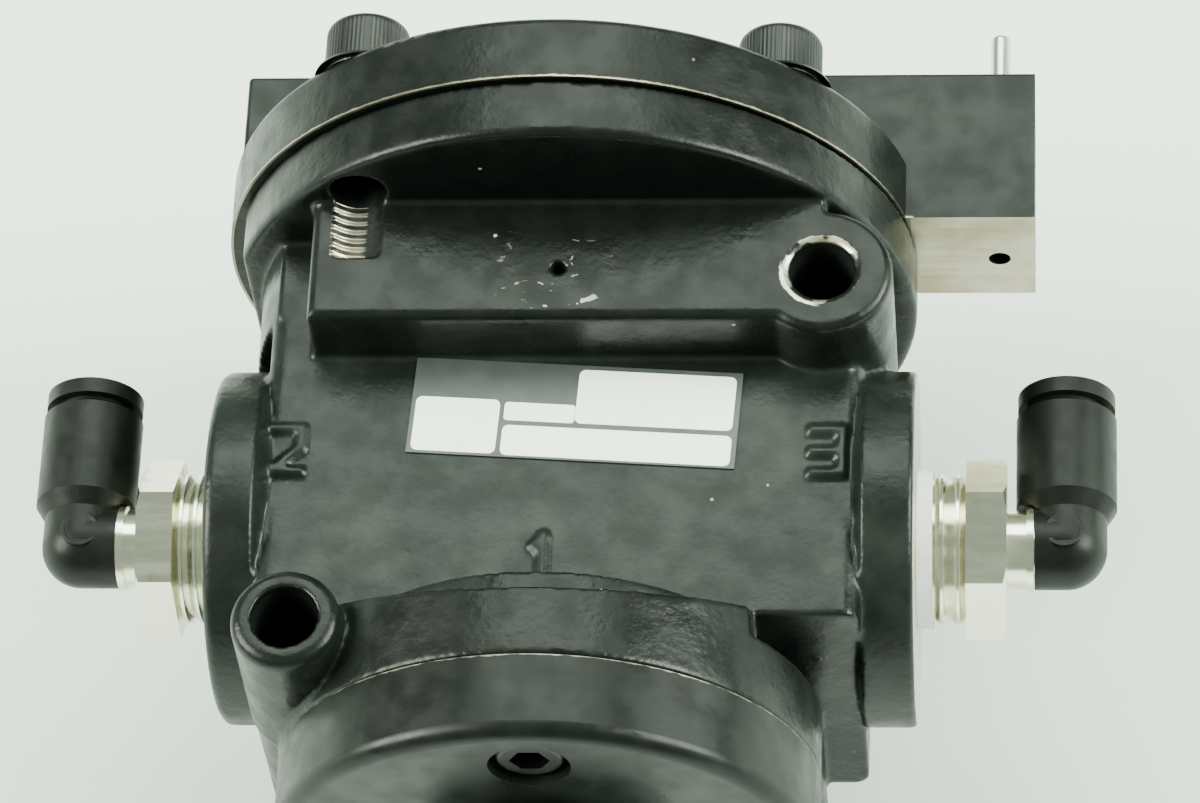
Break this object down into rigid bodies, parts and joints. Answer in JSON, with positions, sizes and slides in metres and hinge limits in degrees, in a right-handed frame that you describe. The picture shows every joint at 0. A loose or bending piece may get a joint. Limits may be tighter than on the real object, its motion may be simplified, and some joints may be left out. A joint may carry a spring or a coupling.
{
  "type": "air piloted poppet valve",
  "caption": "Cast three port poppet valve with round top cover, offset pilot bar, bolted bottom cap, side port reducers and swivelling push-in tube elbows.",
  "frame": {"origin": "on the plane of the four feet, straight below the crossing of the poppet stem axis and the side port axis", "axes": "+Z out of the label face, away from the feet; +Y along the stem towards the top cover; X along the side ports, the taped port on +X"},
  "size_m": [0.1536, 0.1401, 0.0999],
  "materials": {
    "black_enamel": "satin gloss enamel over cast aluminium, orange peel",
    "gasket_fibre": "pressed fibre sheet",
    "black_oxide_steel": "black oxide, satin",
    "black_rubber": "matte",
    "label_foil": "printed foil with plain white fields",
    "brass": "machined",
    "nickel_plate": "nickel plated brass",
    "ptfe_tape": "white tape",
    "bright_steel": "ground, zinc plated where seen",
    "bare_aluminium": "machined",
    "black_plastic": "moulded, fine matte texture"
  },
  "bodies": {
    "valve_body": {"body_casting": "black_enamel", "top_cover": "black_enamel", "cover_gasket": "gasket_fibre", "cover_screws": "black_oxide_steel", "bottom_cap": "black_enamel", "bottom_cap_seal": "black_rubber", "bottom_cap_screws": "black_oxide_steel", "label_plate": "label_foil", "upper_seat_ring": "brass", "lower_seat_ring": "brass", "stem_bush": "brass", "stem_seal": "black_rubber", "reducer_left": "nickel_plate", "reducer_right": "nickel_plate", "thread_tape_right": "ptfe_tape", "stud_left": "nickel_plate", "stud_right": "nickel_plate", "override_bush": "brass"},
    "poppet": {"poppet_stem": "bright_steel", "upper_poppet": "bare_aluminium", "lower_poppet": "bare_aluminium", "upper_poppet_seal": "black_rubber", "lower_poppet_seal": "black_rubber", "piston": "bare_aluminium", "piston_seal": "black_rubber", "stem_nuts": "bright_steel", "return_spring": "bright_steel"},
    "pin": {"override_pin": "bright_steel", "override_spring": "bright_steel"},
    "left_elbow": {"elbow_left": "black_plastic", "tube_seal_left": "black_rubber"},
    "right_elbow": {"elbow_right": "black_plastic", "tube_seal_right": "black_rubber"},
    "left_ring": {"release_ring_left": "black_plastic"},
    "right_ring": {"release_ring_right": "black_plastic"}
  },
  "joints": [
    {"name": "poppet_slide", "type": "slide", "parent": "valve_body", "child": "poppet", "axis": [0, -1, 0], "range_m": [0, 0.006], "stiffness_N_per_m": 3000, "springref_m": -0.008, "deforming": ["return_spring"]},
    {"name": "override_push", "type": "slide", "parent": "valve_body", "child": "pin", "axis": [0, -1, 0], "range_m": [0, 0.003], "stiffness_N_per_m": 500, "springref_m": -0.003, "deforming": ["override_spring"]},
    {"name": "left_swivel", "type": "hinge", "parent": "valve_body", "child": "left_elbow", "pos_m": [-0.063, 0, 0.05], "axis": [1, 0, 0], "continuous": true},
    {"name": "right_swivel", "type": "hinge", "parent": "valve_body", "child": "right_elbow", "pos_m": [0.066, 0, 0.05], "axis": [1, 0, 0], "continuous": true},
    {"name": "left_release", "type": "slide", "parent": "left_elbow", "child": "left_ring", "axis": [0, -1, 0], "range_m": [0, 0.001], "stiffness_N_per_m": 400, "springref_m": -0.002},
    {"name": "right_release", "type": "slide", "parent": "right_elbow", "child": "right_ring", "axis": [0, -1, 0], "range_m": [0, 0.001], "stiffness_N_per_m": 400, "springref_m": -0.002}
  ]
}
